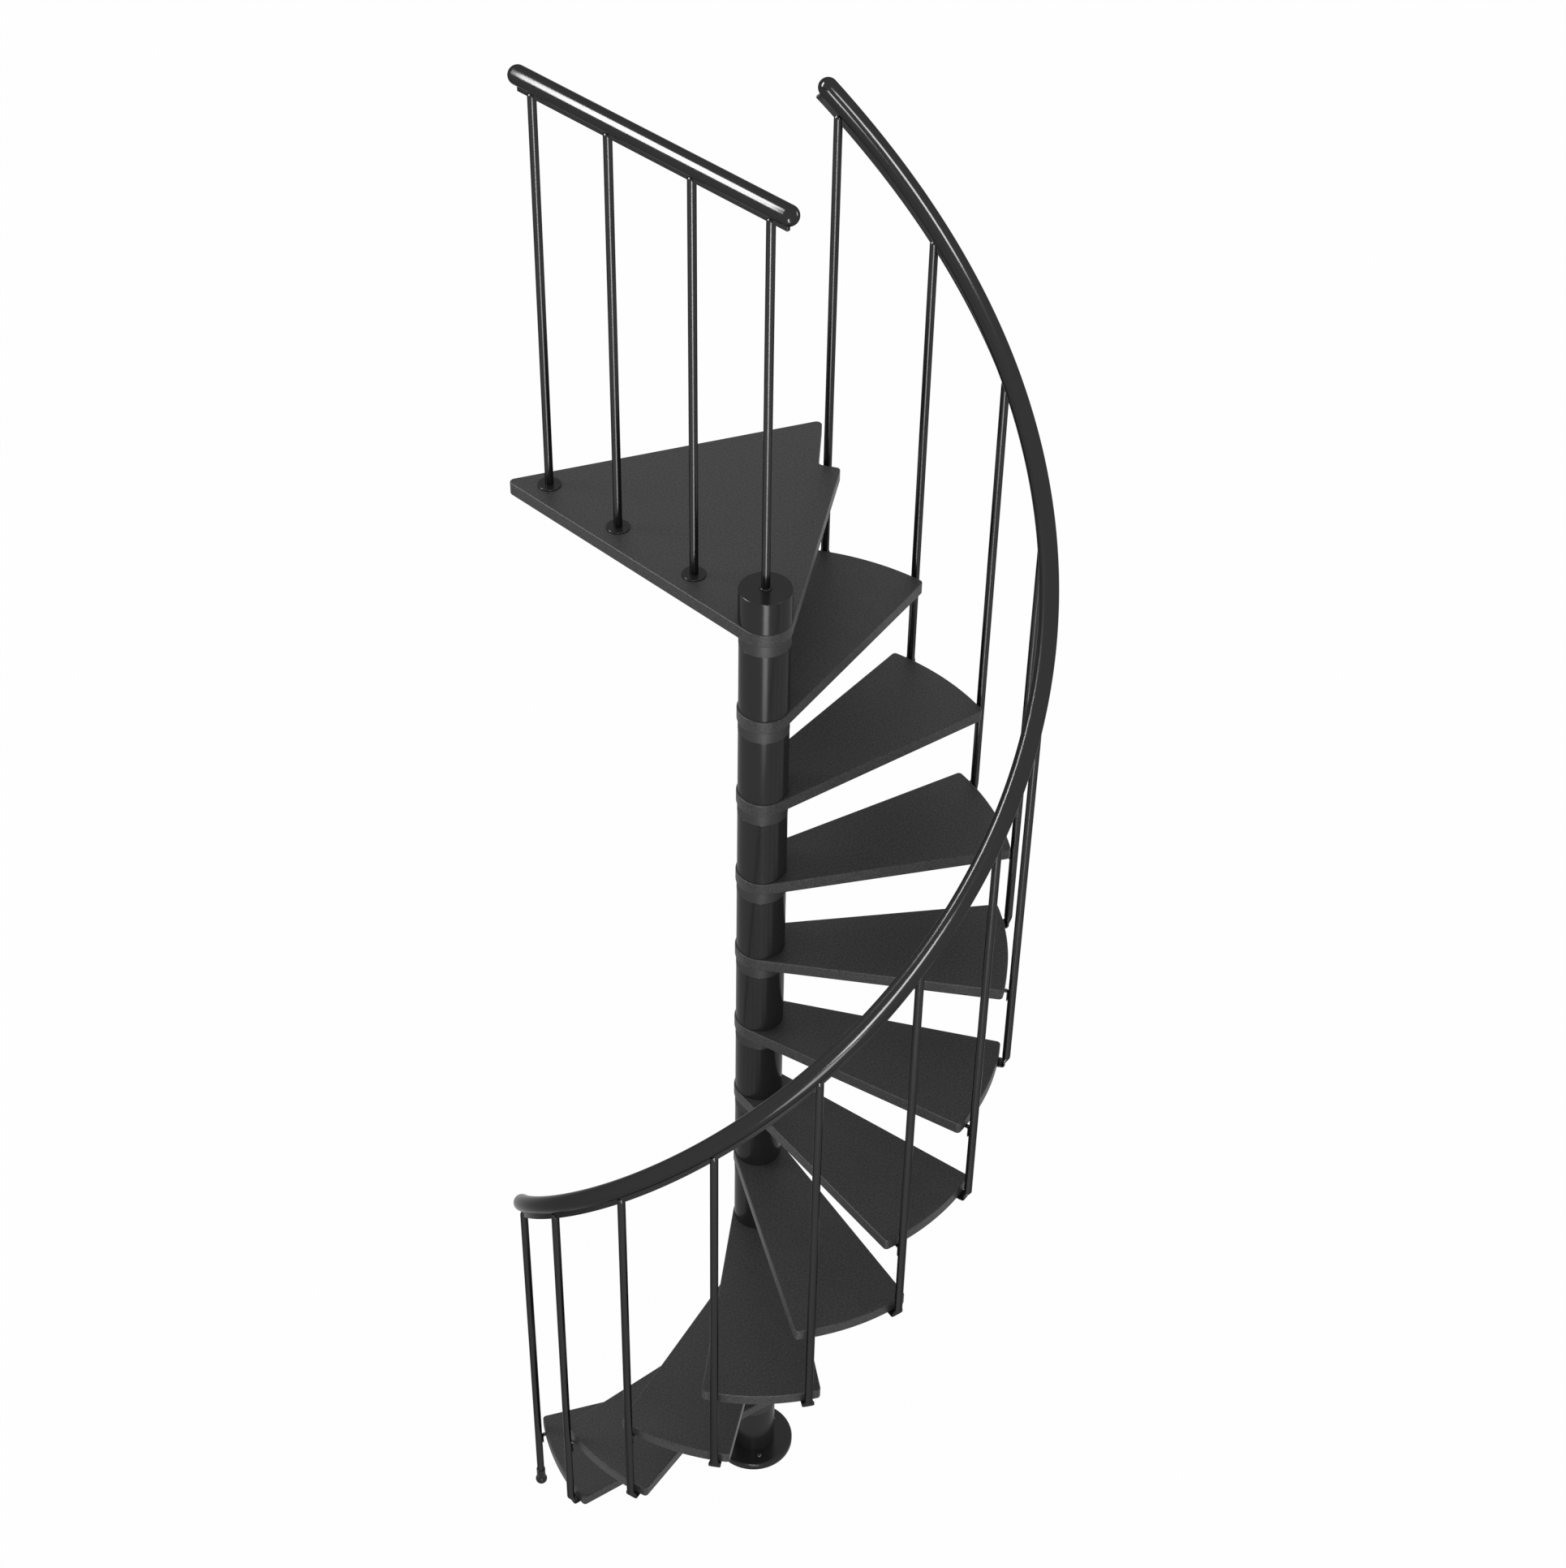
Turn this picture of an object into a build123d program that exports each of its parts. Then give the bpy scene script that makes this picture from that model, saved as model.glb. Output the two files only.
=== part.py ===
"""Spiral staircase kit: wedge treads on a round column, a landing plate, rod balusters and two round handrails.

The frame has its origin on the column's axis at floor level, +Z up and +Y towards the wall that the landing
reaches. The stair climbs anticlockwise seen from above. All sizes are in millimetres and degrees.
"""

import os
from math import acos, atan2, cos, degrees, hypot, pi, radians, sin, sqrt

from build123d import *

os.makedirs("parts", exist_ok=True)

# ---------------------------------------------------------------- driving dimensions
RISE = 225.0  # from one walking surface to the next
LEVELS = 12  # the landing is the last level, with one wedge tread on each level under it
STEP_ANGLE = 22.0  # turn from one tread to the next
LANDING_HEADING = 68.0  # heading of the landing's own nosing, from +X

PLATE = 30.0  # thickness of treads and landing
HUB_RADIUS = 56.2
TREAD_RADIUS = 541.0
HALF_WEDGE = 14.45  # from a tread's middle to its outer corner
CORNER_ROUND = 9.0
EDGE_ROUND = 2.5

LANDING_DEPTH = 615.5  # column axis to the wall edge
LANDING_LEFT = 363.0  # column axis to each side of the wall edge
LANDING_RIGHT = 346.0
NOTCH_HEADING = 58.7  # inner corner beside the last baluster of the flight
NOTCH_ROUND = 12.0

POST_RADIUS = 21.0  # steel core that all hubs are threaded on
POST_BORE = 21.5
SPACER_RADIUS = 53.2
SPACER_WALL = 4.0
RING_RADIUS = 53.6
RING_HEIGHT = 28.0
RING_ROUND = 1.0
BASE_RADIUS = 99.5
BASE_HEIGHT = 18.0
BASE_ROUND = 8.0
BASE_BOLTS = 3
BOLT_CIRCLE_RADIUS = 69.0
BOLT_HOLE_RADIUS = 4.5
FIRST_BOLT_HEADING = 263.5
CAP_RADIUS = 55.0
CAP_HEIGHT = 76.0
CAP_ROUND = 2.0
CAP_CORE_DEPTH = 41.0
COLLAR_RADIUS = 12.5
COLLAR_HEIGHT = 4.0

ROD_RADIUS = 9.0
ROD_CIRCLE = 557.8  # rods stand 8 mm outside the treads
ROD_LEAD = 11.0  # a rod stands halfway between the middles of the two treads it joins
SOCKET_CLEARANCE = 0.1
NEWEL_SOCKET = 30.0

FLAT_WIDTH = 28.0  # a rod's foot is pressed flat, and bent under its tread
FLAT_THICKNESS = 5.0
FLAT_TOP = 22.0  # below the walking surface
PRESS_HEIGHT = 12.0  # over which the round rod turns into the flat
FLAT_REACH = 52.0  # how far the flat runs in under the tread
BEND_ROUND = 4.0

CLIP_WIDTH = 10.0  # angle clip from the front corner of a tread to the rod that passes it
CLIP_THICKNESS = 3.0
CLIP_DROP = 28.0
CLIP_REACH = 44.0

SCREW_CIRCLE = 520.0
SCREW_RADIUS = 2.95
PILOT_RADIUS = 3.0
PILOT_DEPTH = 18.0
SCREW_BITE = 16.0
SCREW_HEAD_RADIUS = 6.0
SCREW_HEAD_HEIGHT = 3.5
CLEARANCE_RADIUS = 3.3

RAIL_RADIUS = 20.0
RAIL_HEIGHT = 860.6  # rail's centre line above tread 1, over its back corner
RAIL_RISE = 223.8  # rail's own rise from one rod to the next
RAIL_OVERHANG = 2.25  # the spiral rail runs this far past its first and last rods
BAR_THICKNESS = 8.0
BAR_TOP = 14.0  # below the rail's centre line, at the bottom of its groove
BAR_BOTTOM = 32.0
BAR_FREE_PLAY = 0.1
GROOVE_WIDTH = 8.4
SLOT_WIDTH = 9.0
SLOT_CLEARANCE = 0.4
SLOT_LENGTH = 120.0
SLOT_HEIGHT = 60.0
DOME_DROP = 40.5  # from the rail's centre line down to the centre of a rod's round top

GUARD_HEADING = 116.15  # the landing's own rail runs out from the column along this heading
GUARD_RODS = (634.7, 425.2, 201.9)
GUARD_RAIL_HEIGHT = 928.4  # above the landing
GUARD_DOME_DROP = 30.0
GUARD_OUTER_END = 672.0
GUARD_INNER_END = -44.0
FLANGE_RADIUS = 25.0
FLANGE_HEIGHT = 3.5

FOOT_BALL_RADIUS = 14.5
FOOT_SOLE_RADIUS = 6.0
FOOT_COLLAR_RADIUS = 11.0
FOOT_COLLAR_TOP = 55.0
FOOT_SOCKET = 30.0

# ---------------------------------------------------------------- worked out from them
LANDING_TOP = LEVELS * RISE
COLUMN_TOP = LANDING_TOP + CAP_HEIGHT
RAIL_PITCH = RAIL_RISE * 360.0 / STEP_ANGLE
RAIL_SLOPE = degrees(atan2(RAIL_PITCH, 2.0 * pi * ROD_CIRCLE))
FIRST_ROD = LANDING_HEADING - STEP_ANGLE * LEVELS + ROD_LEAD
RAIL_SWEEP = STEP_ANGLE * (LEVELS - 1) + 2.0 * RAIL_OVERHANG
BAR_MIDDLE = (BAR_TOP + BAR_BOTTOM) / 2
BAR_LEAD = degrees(atan2(BAR_MIDDLE * sin(radians(RAIL_SLOPE)), ROD_CIRCLE))  # a leaning bar crosses a rod ahead
FOOT_BALL_CENTRE = sqrt(FOOT_BALL_RADIUS**2 - FOOT_SOLE_RADIUS**2)
UPWARDS = (Align.CENTER, Align.CENTER, Align.MIN)
DOWNWARDS = (Align.CENTER, Align.CENTER, Align.MAX)


def polar(radius, heading, height=0.0):
    """Point at a radius and heading about the column."""
    turn = radians(heading)
    return (radius * cos(turn), radius * sin(turn), height)


def tread_heading(level):
    """Heading of the middle of the tread on a level."""
    return LANDING_HEADING - STEP_ANGLE * (LEVELS - level)


def rod_heading(number):
    """Heading of a rod of the flight; rod 0 is the one at the start."""
    return FIRST_ROD + STEP_ANGLE * number


def level_plane(heading, radius=0.0, height=0.0):
    """Plane facing up, with its X away from the column along the heading."""
    return Plane(origin=polar(radius, heading, height), x_dir=polar(1, heading), z_dir=(0, 0, 1))


def side_plane(heading, height=0.0):
    """Upright plane through the column's axis: X is the radius and Y the height above its origin."""
    return Plane(origin=(0, 0, height), x_dir=polar(1, heading), z_dir=polar(1, heading - 90))


def slot_plane(heading, radius, rail_height, across, slope):
    """Plane on the bar's underside: X along the rail, which heads across the rod's heading, and Z up from it."""
    along = Vector(*polar(cos(radians(slope)), heading + across)) + Vector(0, 0, sin(radians(slope)))
    up = Vector(*polar(-sin(radians(slope)), heading + across)) + Vector(0, 0, cos(radians(slope)))
    seat = Vector(*polar(radius, heading, rail_height)) - up * (BAR_BOTTOM + SLOT_CLEARANCE)
    return Plane(origin=seat, x_dir=along, z_dir=up)


def tangent_heading(radius, heading, side):
    """Heading at which the straight edge from an outer point meets the hub, on its side (+1 or -1)."""
    return heading + side * degrees(acos(HUB_RADIUS / radius))


def round_edges(part, size):
    """Round the outline of a plate's top and bottom faces."""
    plate_faces = part.faces().filter_by(Axis.Z)
    fillet([edge for face in plate_faces for edge in face.outer_wire().edges()], size)


def drill_below(spots, height, radius, depth):
    """Blind holes that go up from a height, each at a (radius, heading) about the column."""
    for spot_radius, heading in spots:
        with Locations(level_plane(heading, spot_radius, height)):
            Cylinder(radius, depth, align=UPWARDS, mode=Mode.SUBTRACT)


def slot_rod(heading, radius, rail_height, across, slope):
    """Cut the slot in a rod's round top that the flat bar drops into."""
    with Locations(slot_plane(heading, radius, rail_height, across, slope)):
        Box(SLOT_LENGTH, SLOT_WIDTH, SLOT_HEIGHT, align=UPWARDS, mode=Mode.SUBTRACT)


def round_rod(heading, radius, bottom, dome_centre):
    """Plain rod with a round top."""
    with Locations(level_plane(heading, radius, bottom)):
        Cylinder(ROD_RADIUS, dome_centre - bottom, align=UPWARDS)
    with Locations(level_plane(heading, radius, dome_centre)):
        Sphere(ROD_RADIUS)


def rail_section():
    """Round rail with the groove underneath that takes the flat bar; Y is up."""
    Circle(RAIL_RADIUS)
    with Locations((0, -(BAR_TOP + RAIL_RADIUS) / 2 - GROOVE_WIDTH / 4)):
        Rectangle(GROOVE_WIDTH, RAIL_RADIUS - BAR_TOP + GROOVE_WIDTH / 2, mode=Mode.SUBTRACT)


def bar_section():
    """Flat bar on edge under the rail; Y is up."""
    with Locations((0, -(BAR_TOP + BAR_FREE_PLAY + BAR_BOTTOM) / 2)):
        Rectangle(BAR_THICKNESS, BAR_BOTTOM - BAR_TOP - BAR_FREE_PLAY)


def end_dome(point, outward):
    """Half ball on the end of a rail."""
    with Locations(Plane(origin=point, z_dir=outward)):
        Sphere(RAIL_RADIUS, arc_size1=0, align=UPWARDS)


def screw(heading, head_top):
    """Round-head screw that points up: its head hangs under head_top and its shank bites into the plate."""
    with Locations(level_plane(heading, SCREW_CIRCLE, head_top - SCREW_HEAD_HEIGHT)):
        Cylinder(SCREW_HEAD_RADIUS, SCREW_HEAD_HEIGHT, align=UPWARDS)
    with Locations(level_plane(heading, SCREW_CIRCLE, head_top)):
        Cylinder(SCREW_RADIUS, SCREW_BITE, align=UPWARDS)


# ---------------------------------------------------------------- treads
for level in range(1, LEVELS):
    heading = tread_heading(level)
    underside = level * RISE - PLATE
    hub_turn = tangent_heading(TREAD_RADIUS, HALF_WEDGE, 1)
    with BuildPart() as tread:
        with BuildSketch(level_plane(heading, height=underside)) as wedge:
            with BuildLine():
                Line(polar(HUB_RADIUS, -hub_turn)[:2], polar(TREAD_RADIUS, -HALF_WEDGE)[:2])
                ThreePointArc(
                    polar(TREAD_RADIUS, -HALF_WEDGE)[:2],
                    (TREAD_RADIUS, 0),
                    polar(TREAD_RADIUS, HALF_WEDGE)[:2],
                )
                Line(polar(TREAD_RADIUS, HALF_WEDGE)[:2], polar(HUB_RADIUS, hub_turn)[:2])
                ThreePointArc(
                    polar(HUB_RADIUS, hub_turn)[:2], (-HUB_RADIUS, 0), polar(HUB_RADIUS, -hub_turn)[:2]
                )
            make_face()
            fillet(wedge.vertices().group_by(Axis.X)[-1], CORNER_ROUND)
        extrude(amount=PLATE)
        round_edges(tread, EDGE_ROUND)
        with BuildSketch(level_plane(heading, height=underside)):
            Circle(POST_BORE)
        extrude(amount=PLATE, mode=Mode.SUBTRACT)
        pilots = [(SCREW_CIRCLE, heading - ROD_LEAD), (SCREW_CIRCLE, heading + ROD_LEAD)]
        drill_below(pilots, underside, PILOT_RADIUS, PILOT_DEPTH)
    tread.part.label = f"tread_{level:02d}"
    export_step(tread.part, f"parts/tread_{level:02d}.step")

# ---------------------------------------------------------------- landing
left_corner = (-LANDING_LEFT, LANDING_DEPTH)
right_corner = (LANDING_RIGHT, LANDING_DEPTH)
left_heading = degrees(atan2(LANDING_DEPTH, -LANDING_LEFT))
nosing_heading = LANDING_HEADING - HALF_WEDGE
nosing_corner = polar(TREAD_RADIUS, nosing_heading)[:2]
notch_corner = polar(TREAD_RADIUS, NOTCH_HEADING)[:2]
hub_left = tangent_heading(hypot(LANDING_DEPTH, LANDING_LEFT), left_heading, 1)
hub_right = tangent_heading(TREAD_RADIUS, nosing_heading, -1) + 360.0
with BuildPart() as landing:
    with BuildSketch(Plane.XY.offset(LANDING_TOP - PLATE)) as outline:
        with BuildLine():
            Polyline(notch_corner, right_corner, left_corner, polar(HUB_RADIUS, hub_left)[:2])
            ThreePointArc(
                polar(HUB_RADIUS, hub_left)[:2],
                polar(HUB_RADIUS, (hub_left + hub_right) / 2)[:2],
                polar(HUB_RADIUS, hub_right)[:2],
            )
            Line(polar(HUB_RADIUS, hub_right)[:2], nosing_corner)
            ThreePointArc(
                nosing_corner, polar(TREAD_RADIUS, (nosing_heading + NOTCH_HEADING) / 2)[:2], notch_corner
            )
        make_face()
        fillet(outline.vertices().sort_by_distance(nosing_corner)[0], CORNER_ROUND)
        fillet(outline.vertices().sort_by_distance(notch_corner)[0], NOTCH_ROUND)
        fillet(outline.vertices().group_by(Axis.Y)[-1], NOTCH_ROUND)
    extrude(amount=PLATE)
    round_edges(landing, EDGE_ROUND)
    with BuildSketch(Plane.XY.offset(LANDING_TOP - PLATE)):
        Circle(POST_BORE)
    extrude(amount=PLATE, mode=Mode.SUBTRACT)
    drill_below([(SCREW_CIRCLE, rod_heading(LEVELS - 1))], LANDING_TOP - PLATE, PILOT_RADIUS, PILOT_DEPTH)
landing.part.label = "landing_plate"
export_step(landing.part, "parts/landing_plate.step")

# ---------------------------------------------------------------- column
with BuildPart() as base_flange:
    with BuildSketch(Plane.XY):
        Circle(BASE_RADIUS)
    extrude(amount=BASE_HEIGHT)
    fillet(base_flange.edges().group_by(Axis.Z)[-1], BASE_ROUND)
    with Locations(Plane.XY.offset(BASE_HEIGHT)):
        with PolarLocations(BOLT_CIRCLE_RADIUS, BASE_BOLTS, start_angle=FIRST_BOLT_HEADING):
            Hole(BOLT_HOLE_RADIUS)
base_flange.part.label = "base_flange"
export_step(base_flange.part, "parts/base_flange.step")

with BuildPart() as centre_post:
    with BuildSketch(Plane.XY.offset(BASE_HEIGHT)):
        Circle(POST_RADIUS)
        Circle(POST_RADIUS - SPACER_WALL, mode=Mode.SUBTRACT)
    extrude(amount=LANDING_TOP + CAP_CORE_DEPTH - BASE_HEIGHT)
centre_post.part.label = "centre_post"
export_step(centre_post.part, "parts/centre_post.step")

with BuildPart() as column_spacers:
    for level in range(1, LEVELS + 1):
        bottom = BASE_HEIGHT if level == 1 else (level - 1) * RISE
        top = level * RISE - PLATE - RING_HEIGHT
        with BuildSketch(Plane.XY.offset(bottom)):
            Circle(SPACER_RADIUS)
            Circle(SPACER_RADIUS - SPACER_WALL, mode=Mode.SUBTRACT)
        extrude(amount=top - bottom)
column_spacers.part.label = "column_spacers"
export_step(column_spacers.part, "parts/column_spacers.step")

with BuildPart() as column_rings:
    for level in range(1, LEVELS + 1):
        with BuildSketch(Plane.XY.offset(level * RISE - PLATE - RING_HEIGHT)):
            Circle(RING_RADIUS)
            Circle(POST_BORE, mode=Mode.SUBTRACT)
        ring = extrude(amount=RING_HEIGHT)
        fillet(ring.edges().group_by(SortBy.LENGTH)[-1], RING_ROUND)
column_rings.part.label = "column_rings"
export_step(column_rings.part, "parts/column_rings.step")

with BuildPart() as top_cap:
    with BuildSketch(Plane.XY.offset(LANDING_TOP)):
        Circle(CAP_RADIUS)
    extrude(amount=CAP_HEIGHT)
    fillet(top_cap.edges().group_by(Axis.Z)[-1], CAP_ROUND)
    with BuildSketch(Plane.XY.offset(LANDING_TOP)):
        Circle(POST_BORE)
    extrude(amount=CAP_CORE_DEPTH, mode=Mode.SUBTRACT)
    with BuildSketch(Plane.XY.offset(COLUMN_TOP)):
        Circle(ROD_RADIUS + SOCKET_CLEARANCE)
    extrude(amount=-NEWEL_SOCKET, mode=Mode.SUBTRACT)
top_cap.part.label = "top_cap"
export_step(top_cap.part, "parts/top_cap.step")

with BuildPart() as newel_collar:
    with BuildSketch(Plane.XY.offset(COLUMN_TOP)):
        Circle(COLLAR_RADIUS)
        Circle(ROD_RADIUS + SOCKET_CLEARANCE, mode=Mode.SUBTRACT)
    extrude(amount=COLLAR_HEIGHT)
newel_collar.part.label = "newel_collar"
export_step(newel_collar.part, "parts/newel_collar.step")

# ---------------------------------------------------------------- rods of the flight
foot_plane = level_plane(rod_heading(0), ROD_CIRCLE)
with BuildPart() as starter_foot:
    with Locations(foot_plane.offset(FOOT_BALL_CENTRE)):
        Sphere(FOOT_BALL_RADIUS)
        Cylinder(FOOT_COLLAR_RADIUS, FOOT_COLLAR_TOP - FOOT_BALL_CENTRE, align=UPWARDS)
    with Locations(foot_plane):
        Cylinder(FOOT_BALL_RADIUS, FOOT_BALL_RADIUS, align=DOWNWARDS, mode=Mode.SUBTRACT)
    with Locations(foot_plane.offset(FOOT_SOCKET)):
        Cylinder(
            ROD_RADIUS + SOCKET_CLEARANCE, FOOT_COLLAR_TOP - FOOT_SOCKET, align=UPWARDS, mode=Mode.SUBTRACT
        )
starter_foot.part.label = "starter_foot"
export_step(starter_foot.part, "parts/starter_foot.step")

for number in range(LEVELS):
    heading = rod_heading(number)
    walk = number * RISE
    rail_height = RISE + RAIL_HEIGHT + number * RAIL_RISE
    round_bottom = FOOT_SOCKET if number == 0 else walk - FLAT_TOP + PRESS_HEIGHT
    with BuildPart() as baluster:
        round_rod(heading, ROD_CIRCLE, round_bottom, rail_height - DOME_DROP)
        bar_height = rail_height - RAIL_RISE * BAR_LEAD / STEP_ANGLE
        slot_rod(heading - BAR_LEAD, ROD_CIRCLE, bar_height, 90.0, RAIL_SLOPE)
        if number > 0:
            flat_centre = ROD_CIRCLE - FLAT_THICKNESS / 2
            flat_round = FLAT_THICKNESS / 2 - SOCKET_CLEARANCE
            with BuildSketch(level_plane(heading, flat_centre, walk - FLAT_TOP)):
                RectangleRounded(FLAT_THICKNESS, FLAT_WIDTH, flat_round)
            with BuildSketch(level_plane(heading, ROD_CIRCLE, round_bottom)):
                RectangleRounded(2 * ROD_RADIUS, 2 * ROD_RADIUS, ROD_RADIUS - SOCKET_CLEARANCE)
            loft()
            with BuildSketch(side_plane(heading, walk - PLATE)) as bend:
                with BuildLine():
                    Polyline(
                        (ROD_CIRCLE, PLATE - FLAT_TOP),
                        (ROD_CIRCLE, -FLAT_THICKNESS),
                        (ROD_CIRCLE - FLAT_REACH, -FLAT_THICKNESS),
                        (ROD_CIRCLE - FLAT_REACH, 0),
                        (ROD_CIRCLE - FLAT_THICKNESS, 0),
                        (ROD_CIRCLE - FLAT_THICKNESS, PLATE - FLAT_TOP),
                        close=True,
                    )
                make_face()
                outer_corner = side_plane(heading, walk - PLATE).from_local_coords(
                    (ROD_CIRCLE, -FLAT_THICKNESS, 0)
                )
                fillet(bend.vertices().sort_by_distance(outer_corner)[0], BEND_ROUND)
            extrude(amount=FLAT_WIDTH / 2, both=True)
            drill_below([(SCREW_CIRCLE, heading)], walk - PLATE - FLAT_THICKNESS, CLEARANCE_RADIUS, FLAT_THICKNESS)
    baluster.part.label = f"baluster_{number + 1:02d}"
    export_step(baluster.part, f"parts/baluster_{number + 1:02d}.step")

with BuildPart() as upper_clips:
    for number in range(LEVELS):
        underside = (number + 1) * RISE - PLATE
        face = ROD_CIRCLE - ROD_RADIUS
        with BuildSketch(side_plane(rod_heading(number), underside)):
            with BuildLine():
                Polyline(
                    (face, 0),
                    (face, -CLIP_DROP),
                    (face - CLIP_THICKNESS, -CLIP_DROP),
                    (face - CLIP_THICKNESS, -CLIP_THICKNESS),
                    (face - CLIP_REACH, -CLIP_THICKNESS),
                    (face - CLIP_REACH, 0),
                    close=True,
                )
            make_face()
        extrude(amount=CLIP_WIDTH / 2, both=True)
        hole = [(SCREW_CIRCLE, rod_heading(number))]
        drill_below(hole, underside - CLIP_THICKNESS, CLEARANCE_RADIUS, CLIP_THICKNESS)
upper_clips.part.label = "upper_clips"
export_step(upper_clips.part, "parts/upper_clips.step")

with BuildPart() as foot_screws:
    for number in range(1, LEVELS):
        screw(rod_heading(number), number * RISE - PLATE - FLAT_THICKNESS)
foot_screws.part.label = "foot_screws"
export_step(foot_screws.part, "parts/foot_screws.step")

with BuildPart() as clip_screws:
    for number in range(LEVELS):
        screw(rod_heading(number), (number + 1) * RISE - PLATE - CLIP_THICKNESS)
clip_screws.part.label = "clip_screws"
export_step(clip_screws.part, "parts/clip_screws.step")

# ---------------------------------------------------------------- spiral handrail
rail_start = rod_heading(0) - RAIL_OVERHANG
rail_end = rail_start + RAIL_SWEEP
rail_start_height = RISE + RAIL_HEIGHT - RAIL_RISE * RAIL_OVERHANG / STEP_ANGLE
with BuildLine() as rail_line:
    unturned = Helix(
        RAIL_PITCH,
        RAIL_PITCH * RAIL_SWEEP / 360.0,
        ROD_CIRCLE,
        center=(0, 0, rail_start_height),
        mode=Mode.PRIVATE,
    )
    add(unturned.rotate(Axis.Z, rail_start))
rail_path = rail_line.edges()[0]
rail_first = rail_path @ 0
rail_last = rail_path @ 1
rail_plane = Plane(origin=rail_first, x_dir=polar(-1, rail_start), z_dir=rail_path % 0)

with BuildPart() as handrail:
    with BuildSketch(rail_plane):
        rail_section()
    sweep(path=rail_path, is_frenet=True)
handrail.part.label = "handrail"
export_step(handrail.part, "parts/handrail.step")

with BuildPart() as handrail_bar:
    with BuildSketch(rail_plane):
        bar_section()
    sweep(path=rail_path, is_frenet=True)
handrail_bar.part.label = "handrail_bar"
export_step(handrail_bar.part, "parts/handrail_bar.step")

with BuildPart() as handrail_ends:
    end_dome(rail_first, -(rail_path % 0))
    end_dome(rail_last, rail_path % 1)
handrail_ends.part.label = "handrail_ends"
export_step(handrail_ends.part, "parts/handrail_ends.step")

# ---------------------------------------------------------------- landing rail
guard_height = LANDING_TOP + GUARD_RAIL_HEIGHT
dome_centre = guard_height - GUARD_DOME_DROP
for number, radius in enumerate(GUARD_RODS, start=1):
    with BuildPart() as guard_rod:
        round_rod(GUARD_HEADING, radius, LANDING_TOP, dome_centre)
        slot_rod(GUARD_HEADING, radius, guard_height, 0.0, 0.0)
    guard_rod.part.label = f"landing_baluster_{number}"
    export_step(guard_rod.part, f"parts/landing_baluster_{number}.step")

with BuildPart() as newel_baluster:
    round_rod(GUARD_HEADING, 0.0, COLUMN_TOP - NEWEL_SOCKET, dome_centre)
    slot_rod(GUARD_HEADING, 0.0, guard_height, 0.0, 0.0)
newel_baluster.part.label = "newel_baluster"
export_step(newel_baluster.part, "parts/newel_baluster.step")

with BuildPart() as baluster_flanges:
    for radius in GUARD_RODS:
        with BuildSketch(level_plane(GUARD_HEADING, radius, LANDING_TOP)):
            Circle(FLANGE_RADIUS)
            Circle(ROD_RADIUS + SOCKET_CLEARANCE, mode=Mode.SUBTRACT)
        extrude(amount=FLANGE_HEIGHT)
baluster_flanges.part.label = "baluster_flanges"
export_step(baluster_flanges.part, "parts/baluster_flanges.step")

guard_first = Vector(*polar(GUARD_INNER_END, GUARD_HEADING, guard_height))
guard_last = Vector(*polar(GUARD_OUTER_END, GUARD_HEADING, guard_height))
guard_plane = Plane(origin=guard_first, x_dir=polar(1, GUARD_HEADING + 90), z_dir=guard_last - guard_first)

with BuildPart() as landing_handrail:
    with BuildSketch(guard_plane):
        rail_section()
    extrude(amount=GUARD_OUTER_END - GUARD_INNER_END)
landing_handrail.part.label = "landing_handrail"
export_step(landing_handrail.part, "parts/landing_handrail.step")

with BuildPart() as landing_handrail_bar:
    with BuildSketch(guard_plane):
        bar_section()
    extrude(amount=GUARD_OUTER_END - GUARD_INNER_END)
landing_handrail_bar.part.label = "landing_handrail_bar"
export_step(landing_handrail_bar.part, "parts/landing_handrail_bar.step")

with BuildPart() as landing_handrail_ends:
    end_dome(guard_first, guard_first - guard_last)
    end_dome(guard_last, guard_last - guard_first)
landing_handrail_ends.part.label = "landing_handrail_ends"
export_step(landing_handrail_ends.part, "parts/landing_handrail_ends.step")
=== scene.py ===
"""Looks of the spiral staircase: its smooth surfaces, finishes and fastenings, and the studio round it.

Lengths are in metres and headings in degrees from +X, turning anticlockwise seen from above. The column's
axis is Z, the floor is z = 0 and the landing's wall edge faces +Y.
"""

from __future__ import annotations

import logging
from dataclasses import dataclass
from enum import Enum
from math import acos, atan2, cos, degrees, hypot, pi, radians, sin, tau

import bpy
import numpy as np
from mathutils import Matrix, Vector

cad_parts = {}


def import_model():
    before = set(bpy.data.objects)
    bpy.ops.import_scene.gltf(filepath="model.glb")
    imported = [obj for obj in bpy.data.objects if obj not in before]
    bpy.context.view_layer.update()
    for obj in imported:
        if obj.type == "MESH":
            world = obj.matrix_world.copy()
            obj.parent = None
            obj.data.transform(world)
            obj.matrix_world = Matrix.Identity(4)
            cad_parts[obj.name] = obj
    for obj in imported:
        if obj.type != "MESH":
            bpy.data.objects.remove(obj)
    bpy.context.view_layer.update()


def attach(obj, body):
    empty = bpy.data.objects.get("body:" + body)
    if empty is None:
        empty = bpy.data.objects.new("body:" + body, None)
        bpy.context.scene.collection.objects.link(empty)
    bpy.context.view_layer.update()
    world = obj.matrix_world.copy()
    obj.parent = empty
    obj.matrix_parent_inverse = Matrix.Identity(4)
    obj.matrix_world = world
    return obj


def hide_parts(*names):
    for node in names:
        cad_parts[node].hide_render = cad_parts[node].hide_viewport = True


LOG = logging.getLogger("staircase")
BODY = "root"
Array = np.ndarray
Skin = tuple[Array, list[list[int]]]
Point = tuple[float, float, float]

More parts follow.
